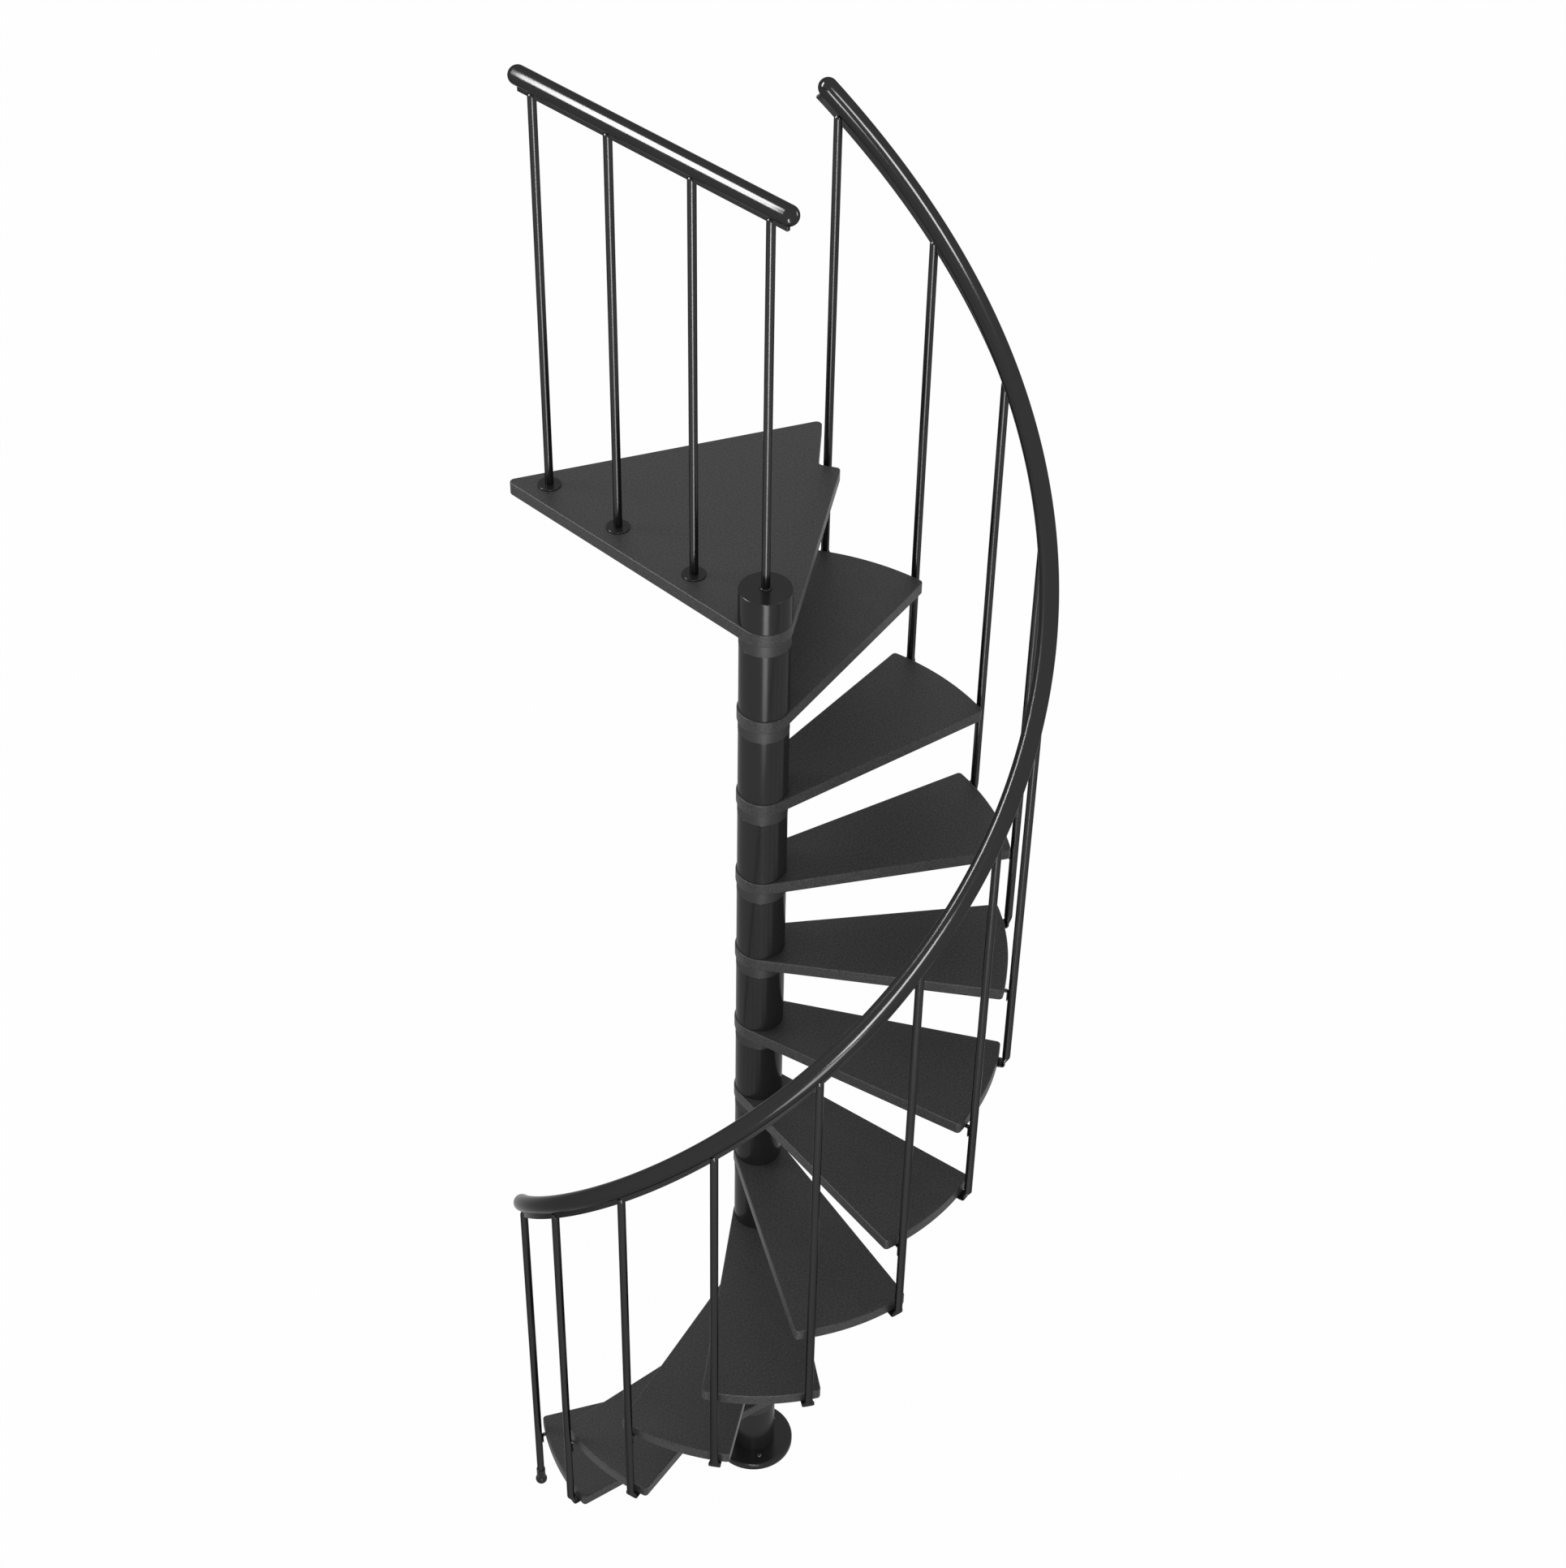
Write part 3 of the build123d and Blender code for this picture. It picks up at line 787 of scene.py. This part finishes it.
@dataclass
class Balusters:
    """The rods of the flight with their pressed and bent feet, their clips and their screws."""

    flight: Flight
    paint: bpy.types.Material
    plated: bpy.types.Material
    dome_drop: float = 0.0405
    first_low: float = 0.030
    flat_half: float = 0.014
    flat_depth: float = 0.0025
    flat_top: float = 0.022
    flat_reach: float = 0.052
    flat_bend: float = 0.0055
    flat_square: float = 5.0
    flat_tail: tuple[float, ...] = (0.0, 0.0004, 0.0012)
    flat_taper: tuple[float, ...] = (0.75, 0.95, 1.0)
    press: float = 0.012
    clip_half: float = 0.005
    clip_depth: float = 0.0015
    clip_drop: float = 0.028
    clip_reach: float = 0.044
    clip_bend: float = 0.003
    clip_square: float = 7.0
    clip_tail: tuple[float, ...] = (0.0, 0.0003, 0.001)
    clip_taper: tuple[float, ...] = (0.7, 0.95, 1.0)
    screw_circle: float = 0.520
    screw_head: float = 0.006
    screw_height: float = 0.0035
    screw_dome: float = 0.003
    screw_shank: float = 0.0028
    screw_bite: float = 0.016
    screw_edge: float = 0.0003

    def first_rod(self) -> Skin:
        """Skin of the starting rod, which is round from the foot's collar to its round top.

        Returns:
            The closed skin.
        """
        flight = self.flight
        top, radii = round_top(flight.rod, flight.rail_line(0) - self.dome_drop)
        up = np.concatenate([[self.first_low, self.first_low + HOLD], top])
        size = np.concatenate([[flight.rod, flight.rod], radii])
        out, turn, square = (np.full(len(up), value) for value in (flight.rod_circle, pi / 2, ROUND))
        return self.placed(0, out, up, turn, np.stack([size, size], 1), square)

    def rod(self, number: int) -> Skin:
        """Skin of a rod: its foot's flat, the bend, the pressed neck and the shank up to the round top.

        The neck eases from the flat to the round section by s * s * (3 - 2 s), with s from 0 to 1 along it.

        Args:
            number: which rod, from 1 for the first one that hangs on a tread.

        Returns:
            The closed skin.
        """
        flight = self.flight
        walk = number * flight.rise
        top, radii = round_top(flight.rod, flight.rail_line(number) - self.dome_drop)
        flat, low = flight.rod_circle - self.flat_depth, walk - flight.plate - self.flat_depth
        tail, taper = np.array(self.flat_tail), np.array(self.flat_taper)
        swing, neck = np.linspace(0.0, pi / 2, 8), np.linspace(0.0, 1.0, 9)
        ease = neck * neck * (3.0 - 2.0 * neck)
        full = np.ones(len(swing))
        out = np.concatenate([
            flight.rod_circle - self.flat_reach + tail,
            flat - self.flat_bend + self.flat_bend * np.sin(swing),
            flat + self.flat_depth * ease,
            np.full(len(top), flight.rod_circle),
        ])
        up = np.concatenate([
            np.full(len(tail), low),
            low + self.flat_bend * (1.0 - np.cos(swing)),
            walk - self.flat_top + self.press * neck,
            top,
        ])
        turn = np.concatenate([np.zeros(len(tail)), swing, np.full(len(neck) + len(top), pi / 2)])
        halves = [
            np.concatenate([half * taper, half * full, half + (flight.rod - half) * ease, radii])
            for half in (self.flat_half, self.flat_depth)
        ]
        square = np.concatenate([
            np.full(len(tail) + len(swing), self.flat_square),
            self.flat_square - (self.flat_square - ROUND) * ease,
            np.full(len(top), ROUND),
        ])
        return self.placed(number, out, up, turn, np.stack(halves, 1), square)

    def placed(self, number: int, out: Array, up: Array, turn: Array, sizes: Array, square: Array) -> Skin:
        """Section carried along a line in the upright plane of a rod.

        Args:
            number: which rod, from 0 at the start.
            out: the stations' distances from the column's axis.
            up: their heights.
            turn: where the section's depth points, in radians: 0 is down, pi / 2 outwards and pi up.
            sizes: half width and half depth of the section at each station.
            square: its squareness there.

        Returns:
            The closed skin.
        """
        heading = self.flight.rod_heading(number)
        ray, upward = facing(heading), np.array(UP)
        centres = out[:, None] * ray + up[:, None] * upward
        through = np.sin(turn)[:, None] * ray - np.cos(turn)[:, None] * upward
        across = np.broadcast_to(facing(heading + 90.0), centres.shape)
        return carried(centres, across, through, sizes, square)

    def clip(self, number: int) -> Skin:
        """Skin of an angle clip: a flat strip from under the tread's corner, round a bend and down the rod.

        Args:
            number: the rod that it holds, from 0 at the start.

        Returns:
            The closed skin.
        """
        flight, bend = self.flight, self.clip_bend
        underside = (number + 1) * flight.rise - flight.plate
        face = flight.rod_circle - flight.rod
        tail, taper = np.array(self.clip_tail), np.array(self.clip_taper)
        swing = np.linspace(0.0, pi / 2, 6)
        out = np.concatenate([
            face - self.clip_reach + tail,
            face - self.clip_depth - bend + bend * np.sin(swing),
            np.full(len(tail), face - self.clip_depth),
        ])
        up = np.concatenate([
            np.full(len(tail), underside - self.clip_depth),
            underside - self.clip_depth - bend * (1.0 - np.cos(swing)),
            underside - self.clip_drop + tail[::-1],
        ])
        turn = pi - np.concatenate([np.zeros(len(tail)), swing, np.full(len(tail), pi / 2)])
        share = np.concatenate([taper, np.ones(len(swing)), taper[::-1]])
        sizes = np.stack([self.clip_half * share, self.clip_depth * share], 1)
        return self.placed(number, out, up, turn, sizes, np.full(len(out), self.clip_square))

    def screw(self, number: int, seat: float) -> Skin:
        """Round-head screw that hangs under a seat and bites into the plate above.

        Args:
            number: the rod that it stands beside.
            seat: height of the seat.

        Returns:
            The closed skin.
        """
        under, over = seat - self.screw_height, seat + self.screw_bite
        corners = np.array([
            [0.0, under], [self.screw_head, under], [self.screw_head, seat],
            [self.screw_shank, seat], [self.screw_shank, over], [0.0, over],
        ])
        edges = np.array([self.screw_dome, self.screw_edge, self.screw_edge, self.screw_edge])
        profile = rounded(corners, edges, hold=FINE_HOLD)
        return turned(profile, self.flight.rod_heading(number), self.screw_circle, around=20)

    def build(self) -> None:
        """Makes the rods, the clips and the screws."""
        flight = self.flight
        for number in range(flight.levels):
            name, node = f"rod_{number + 1:02d}", f"baluster_{number + 1:02d}"
            skin = self.rod(number) if number else self.first_rod()
            made(name, [skin], [node], self.paint)
        clips = [self.clip(number) for number in range(flight.levels)]
        seats = [number * flight.rise - flight.plate for number in range(1, flight.levels + 1)]
        feet = [self.screw(level, seat - 2 * self.flat_depth) for level, seat in enumerate(seats[:-1], 1)]
        under = [self.screw(number, seat - 2 * self.clip_depth) for number, seat in enumerate(seats)]
        made("angle_clips", clips, ["upper_clips"], self.paint)
        made("foot_bolts", feet, ["foot_screws"], self.plated)
        made("clip_bolts", under, ["clip_screws"], self.plated)


@dataclass
class Foot:
    """Ball foot of the first rod, on the floor."""

    flight: Flight
    gloss: bpy.types.Material
    ball: float = 0.0145
    sole: float = 0.006
    hold: float = 0.0004
    collar: float = 0.011
    collar_top: float = 0.055
    collar_round: float = 0.0012

    def build(self) -> None:
        """Makes the foot: a ball on a small sole, with a collar up the rod.

        At the angle t the ball is cos t balls wide and sin t balls high, from its sole up to the collar.
        """
        swing = np.linspace(-acos(self.sole / self.ball), acos(self.collar / self.ball), 20)
        height = self.ball * np.sin(swing)
        height -= height[0]
        ball = np.stack([self.ball * np.cos(swing), height], 1)
        sole = np.array([[0.0, 0.0], [self.sole - self.hold, 0.0]])
        neck, top = float(height[-1]) + self.hold, self.collar_top
        corners = np.array([[self.collar, neck], [self.collar, top], [0.0, top]])
        profile = np.concatenate([sole, ball, rounded(corners, np.array([self.collar_round]))])
        skin = turned(profile, self.flight.rod_heading(0), self.flight.rod_circle, around=40)
        made("ball_foot", [skin], ["starter_foot"], self.gloss)


@dataclass
class Rails:
    """Both handrails, with the flat bars that the rods are fixed to."""

    flight: Flight
    paint: bpy.types.Material
    bar_paint: bpy.types.Material
    radius: float = 0.020
    overhang: float = 2.25
    spiral_stations: int = 240
    bar_half: float = 0.004
    bar_top: float = 0.012
    bar_bottom: float = 0.032
    bar_edge: float = 0.0006
    bar_taper: float = 0.3
    guard_outer: float = 0.672
    guard_inner: float = -0.044
    guard_stations: int = 24

    def spiral(self) -> tuple[Array, Array, Array, Array]:
        """Line of the spiral rail and its directions.

        The line is at the rods' circle, and its height grows by the rail's rise for each step angle.

        Returns:
            Points, outward unit vectors, unit vectors along it, and unit vectors square to both, upwards.
        """
        flight, count = self.flight, self.spiral_stations
        first, last = flight.rod_heading(0), flight.rod_heading(0) + flight.step_angle * (flight.levels - 1)
        turn = np.linspace(first - self.overhang, last + self.overhang, count)
        lift = flight.rail_rise / radians(flight.step_angle)
        ray = np.stack([np.cos(np.radians(turn)), np.sin(np.radians(turn)), np.zeros(count)], 1)
        side = np.stack([-ray[:, 1], ray[:, 0], np.zeros(count)], 1)
        height = flight.rail_line((turn - first) / flight.step_angle)
        points = ray * flight.rod_circle + np.array(UP) * height[:, None]
        along = side * flight.rod_circle + np.array([0.0, 0.0, lift])
        along /= np.linalg.norm(along, axis=1, keepdims=True)
        return points, ray, along, np.cross(ray, along)

    def straight(self) -> tuple[Array, Array, Array, Array]:
        """Line of the landing's rail and its directions, as the spiral's, with the first ones across it.

        Returns:
            Points, unit vectors across it, unit vectors along it, and unit vectors square to both, upwards.
        """
        heading = self.flight.guard_heading
        ray = facing(heading)
        reach = np.linspace(self.guard_inner, self.guard_outer, self.guard_stations)[:, None]
        points = reach * ray + np.array([0.0, 0.0, self.flight.landing_top + self.flight.guard_height])
        along = np.broadcast_to(ray, points.shape)
        across = np.broadcast_to(facing(heading - 90.0), points.shape)
        return points, across, along, np.cross(across, along)

    def tube(self, points: Array, across: Array, along: Array, up: Array) -> Skin:
        """Round rail along a line, with half a ball on each end.

        Args:
            points: the line.
            across: unit vectors across it.
            along: unit vectors along it.
            up: unit vectors square to both.

        Returns:
            The closed skin.
        """
        swing = np.linspace(0.0, pi / 2, 12)[1:-1]
        reach, radii = self.radius * np.sin(swing), self.radius * np.cos(swing)
        before = points[0] - reach[::-1, None] * along[0]
        after = points[-1] + reach[:, None] * along[-1]
        centres = np.concatenate([before, points, after])
        pick = np.concatenate([np.zeros(len(swing), int), np.arange(len(points)), np.full(len(swing), -1)])
        size = np.concatenate([radii[::-1], np.full(len(points), self.radius), radii])
        square = np.full(len(size), ROUND)
        return carried(centres, across[pick], up[pick], np.stack([size, size], 1), square, around=48)

    def bar(self, points: Array, across: Array, along: Array, up: Array) -> Skin:
        """Flat bar on edge under a rail, with its four edges and both ends slightly rounded.

        Each end is three sections that grow to full size within an edge's radius.

        Args:
            points: the rail's line.
            across: unit vectors across it.
            along: unit vectors along it.
            up: unit vectors square to both.

        Returns:
            The closed skin.
        """
        half, low, high, edge = self.bar_half, -self.bar_bottom, -self.bar_top, self.bar_edge
        corners = np.array([[0.0, low], [half, low], [half, high], [-half, high], [-half, low], [0.0, low]])
        section = rounded(corners, np.full(4, edge), steps=4)[1:]
        outward = np.sign(section - np.array([0.0, (low + high) / 2]))
        end, plain = np.array([edge, edge * self.bar_taper, 0.0]), np.zeros(len(points) - 2)
        inset = np.concatenate([end, plain, end[::-1]])
        reach = np.concatenate([end[::-1], plain, -end])
        pick = np.concatenate([np.zeros(3, int), np.arange(1, len(points) - 1), np.full(3, len(points) - 1)])
        shrunk = section[None] - outward[None] * inset[:, None, None]
        start = points[pick] + along[pick] * reach[:, None]
        return wrap(
            start[:, None] + across[pick][:, None] * shrunk[..., :1] + up[pick][:, None] * shrunk[..., 1:]
        )

    def build(self) -> None:
        """Makes the spiral rail, the landing's rail and both bars."""
        lines = {"": ("spiral", self.spiral()), "landing_": ("landing", self.straight())}
        for prefix, (name, line) in lines.items():
            nodes = [f"{prefix}handrail", f"{prefix}handrail_ends"]
            made(f"{name}_rail", [self.tube(*line)], nodes, self.paint)
            made(f"{name}_bar", [self.bar(*line)], [f"{prefix}handrail_bar"], self.bar_paint)


@dataclass
class Guard:
    """The landing's own rods, their floor flanges and the collar on the cap."""

    flight: Flight
    paint: bpy.types.Material
    gloss: bpy.types.Material
    rods: tuple[float, ...] = (0.6347, 0.4252, 0.2019)
    dome_drop: float = 0.030
    newel_socket: float = 0.030
    flange: float = 0.025
    flange_height: float = 0.0035
    collar: float = 0.0125
    collar_height: float = 0.004
    lower_round: float = 0.0003
    upper_share: float = 0.5

    def rod(self, radius: float, bottom: float) -> Skin:
        """Round rod with a round top.

        Args:
            radius: its distance from the column's axis, along the rail.
            bottom: height of its lower end.

        Returns:
            The closed skin.
        """
        size = self.flight.rod
        top = self.flight.landing_top + self.flight.guard_height - self.dome_drop
        height, radii = round_top(size, top)
        foot = [[0.0, bottom], [size, bottom], [size, bottom + HOLD]]
        profile = np.concatenate([foot, np.stack([radii, height], 1), [[0.0, top + size]]])
        return turned(profile, self.flight.guard_heading, radius, around=28)

    def flat(self, radius: float, bottom: float, outer: float, height: float) -> Skin:
        """Flat round flange around a rod.

        Args:
            radius: the rod's distance from the column's axis.
            bottom: height of the flange's underside.
            outer: the flange's radius.
            height: its height.

        Returns:
            The closed skin.
        """
        edges = (self.lower_round, height * self.upper_share)
        return disc(outer, bottom, bottom + height, edges, heading=self.flight.guard_heading, radius=radius)

    def build(self) -> None:
        """Makes the rods, the flanges and the collar."""
        top = self.flight.landing_top
        cap = top + self.flight.cap_height
        for number, radius in enumerate(self.rods, start=1):
            name, node = f"landing_rod_{number}", f"landing_baluster_{number}"
            made(name, [self.rod(radius, top)], [node], self.paint)
        newel = self.rod(0.0, cap - self.newel_socket)
        made("newel_rod", [newel], ["newel_baluster"], self.paint)
        flanges = [self.flat(radius, top, self.flange, self.flange_height) for radius in self.rods]
        made("rod_flanges", flanges, ["baluster_flanges"], self.gloss)
        collar = self.flat(0.0, cap, self.collar, self.collar_height)
        made("cap_collar", [collar], ["newel_collar"], self.gloss)


# ---------------------------------------------------------------- studio
class Role(Enum):
    """What a lamp is for."""

    SOFT = "lights matt surfaces evenly"
    SHINE = "shows only as a highlight on gloss"


@dataclass(frozen=True)
class Lamp:
    """Soft rectangular lamp that faces the stair."""

    name: str
    role: Role
    place: Point
    aim: Point
    along: Point
    width: float
    length: float
    radiance: float

    def build(self) -> None:
        """Puts the lamp in place.

        Its back faces away from the aim and its length runs as near to its long direction as that allows. A
        flat lamp sends out pi times its radiance times its area.
        """
        light = bpy.data.lights.new(self.name, "AREA")
        light.shape, light.size, light.size_y = "RECTANGLE", self.width, self.length
        light.energy = pi * self.radiance * self.width * self.length
        back = (Vector(self.place) - Vector(self.aim)).normalized()
        long = Vector(self.along)
        long = (long - back * long.dot(back)).normalized()
        lamp = bpy.data.objects.new(self.name, light)
        turn = Matrix((long.cross(back), long, back)).transposed().to_4x4()
        lamp.matrix_world = Matrix.Translation(self.place) @ turn
        lamp.visible_glossy = self.role is Role.SHINE
        lamp.visible_diffuse = self.role is Role.SOFT
        lamp.visible_camera = False
        bpy.context.scene.collection.objects.link(lamp)


@dataclass(frozen=True)
class Studio:
    """White floor, white surroundings, soft lamps and the camera."""

    camera_place: Point = (-1.5422, -4.2874, 6.2904)
    camera_heading: float = 20.31
    camera_pitch: float = -41.472
    camera_roll: float = 1.185
    lens: float = 67.106
    sensor: float = 36.0
    near: float = 0.1
    far: float = 200.0
    floor_half: float = 40.0
    floor_grey: float = 0.95
    floor_glow: float = 0.975
    fill: float = 0.6
    lamps: tuple[Lamp, ...] = (
        Lamp("key", Role.SOFT, (-8.0, -12.4, 9.0), (0.0, 0.0, 2.0), UP, 8.0, 8.0, 2.2),
        Lamp("side", Role.SOFT, (11.0, -9.0, 6.0), (0.0, 0.0, 2.0), UP, 8.0, 8.0, 1.2),
        Lamp("left", Role.SHINE, (-3.64, 1.73, 6.07), (-0.13, 0.27, 3.64), LEANING, 1.2, 3.2, 45.0),
        Lamp("front_left", Role.SHINE, (-0.81, -1.93, 2.605), (0.38, -0.86, 2.605), UP, 0.45, 1.35, 27.0),
        Lamp("front_right", Role.SHINE, (0.487, -0.125, 3.705), (0.38, 0.4, 3.42), UP, 0.16, 0.2, 30.0),
        Lamp("low", Role.SHINE, (-0.86, -2.88, 0.78), (0.0, 0.0, 0.78), UP, 1.0, 1.45, 10.0),
    )

    def seen(self, tree: bpy.types.NodeTree) -> bpy.types.NodeSocket:
        """Socket that is 1 for rays that show a background: from the camera, a reflection or glass.

        Args:
            tree: the node tree that it is made in.

        Returns:
            The socket.
        """
        path = tree.nodes.new("ShaderNodeLightPath")
        total = path.outputs["Is Camera Ray"]
        for output in ("Is Glossy Ray", "Is Transmission Ray"):
            both = tree.nodes.new("ShaderNodeMath")
            both.operation, both.use_clamp = "ADD", True
            tree.links.new(total, both.inputs[0])
            tree.links.new(path.outputs[output], both.inputs[1])
            total = both.outputs[0]
        return total

    def world(self) -> None:
        """World that shows white and lights more softly."""
        world = bpy.data.worlds.new("studio")
        bpy.context.scene.world = world
        world.use_nodes = True
        tree = world.node_tree
        span = tree.nodes.new("ShaderNodeMapRange")
        span.inputs["To Min"].default_value = self.fill
        span.inputs["To Max"].default_value = 1.0
        tree.links.new(self.seen(tree), span.inputs["Value"])
        tree.nodes["Background"].inputs["Color"].default_value = shade(1.0)
        tree.links.new(span.outputs["Result"], tree.nodes["Background"].inputs["Strength"])

    def floor(self) -> None:
        """Flat white floor: what shows is mostly its own white, and the rest keeps the stair's shadow."""
        half = self.floor_half
        mesh = bpy.data.meshes.new("floor")
        sides = ((-half, -half), (half, -half), (half, half), (-half, half))
        mesh.from_pydata([(x, y, 0.0) for x, y in sides], [], [(0, 1, 2, 3)])
        floor = bpy.data.objects.new("floor", mesh)
        bpy.context.scene.collection.objects.link(floor)
        material = bpy.data.materials.new("floor_white")
        material.use_nodes = True
        tree = material.node_tree
        tree.nodes.remove(tree.nodes["Principled BSDF"])
        matt, glow = tree.nodes.new("ShaderNodeBsdfDiffuse"), tree.nodes.new("ShaderNodeEmission")
        matt.inputs["Color"].default_value = shade(self.floor_grey)
        mix, share = tree.nodes.new("ShaderNodeMixShader"), tree.nodes.new("ShaderNodeMath")
        share.operation = "MULTIPLY"
        share.inputs[1].default_value = self.floor_glow
        tree.links.new(self.seen(tree), share.inputs[0])
        tree.links.new(share.outputs[0], mix.inputs["Fac"])
        tree.links.new(matt.outputs[0], mix.inputs[1])
        tree.links.new(glow.outputs[0], mix.inputs[2])
        tree.links.new(mix.outputs[0], tree.nodes["Material Output"].inputs["Surface"])
        mesh.materials.append(material)

    def camera(self) -> None:
        """Camera: turned to its heading about Z, tipped by its pitch, then rolled about its own axis."""
        data = bpy.data.cameras.new("camera")
        data.lens, data.sensor_width = self.lens, self.sensor
        data.clip_start, data.clip_end = self.near, self.far
        camera = bpy.data.objects.new("camera", data)
        turn = Matrix.Rotation(radians(-self.camera_heading), 4, "Z")
        tip = Matrix.Rotation(radians(90.0 + self.camera_pitch), 4, "X")
        roll = Matrix.Rotation(radians(self.camera_roll), 4, "Z")
        camera.matrix_world = Matrix.Translation(self.camera_place) @ turn @ tip @ roll
        bpy.context.scene.collection.objects.link(camera)
        bpy.context.scene.camera = camera

    def build(self) -> None:
        """Sets up the whole studio."""
        bpy.context.scene.view_settings.view_transform = "Standard"
        self.world()
        self.floor()
        self.camera()
        for lamp in self.lamps:
            lamp.build()


def main() -> None:
    """Loads the frame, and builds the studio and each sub-assembly."""
    logging.basicConfig(level=logging.INFO, format="%(message)s")
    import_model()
    Studio().build()
    flight = Flight()
    coat = PowderCoat().material()
    gloss = Enamel("gloss_black", 0.036, roughness=0.2, metal=0.5, flank=0.75).material()
    satin = Enamel("satin_black", 0.056, roughness=0.45, metal=0.5, flank=0.7).material()
    rod_paint = Enamel("rod_black", 0.044, roughness=0.22, metal=0.9, flank=0.4).material()
    rail_paint = Enamel("rail_black", 0.037, roughness=0.16, metal=0.65, flank=0.5, depth=0.000001).material()
    plated = Plating().material()
    Treads(flight, coat).build()
    Column(flight, gloss, satin, plated).build()
    Balusters(flight, rod_paint, plated).build()
    Foot(flight, gloss).build()
    Rails(flight, rail_paint, rod_paint).build()
    Guard(flight, rod_paint, gloss).build()


if __name__ == "__main__":
    main()
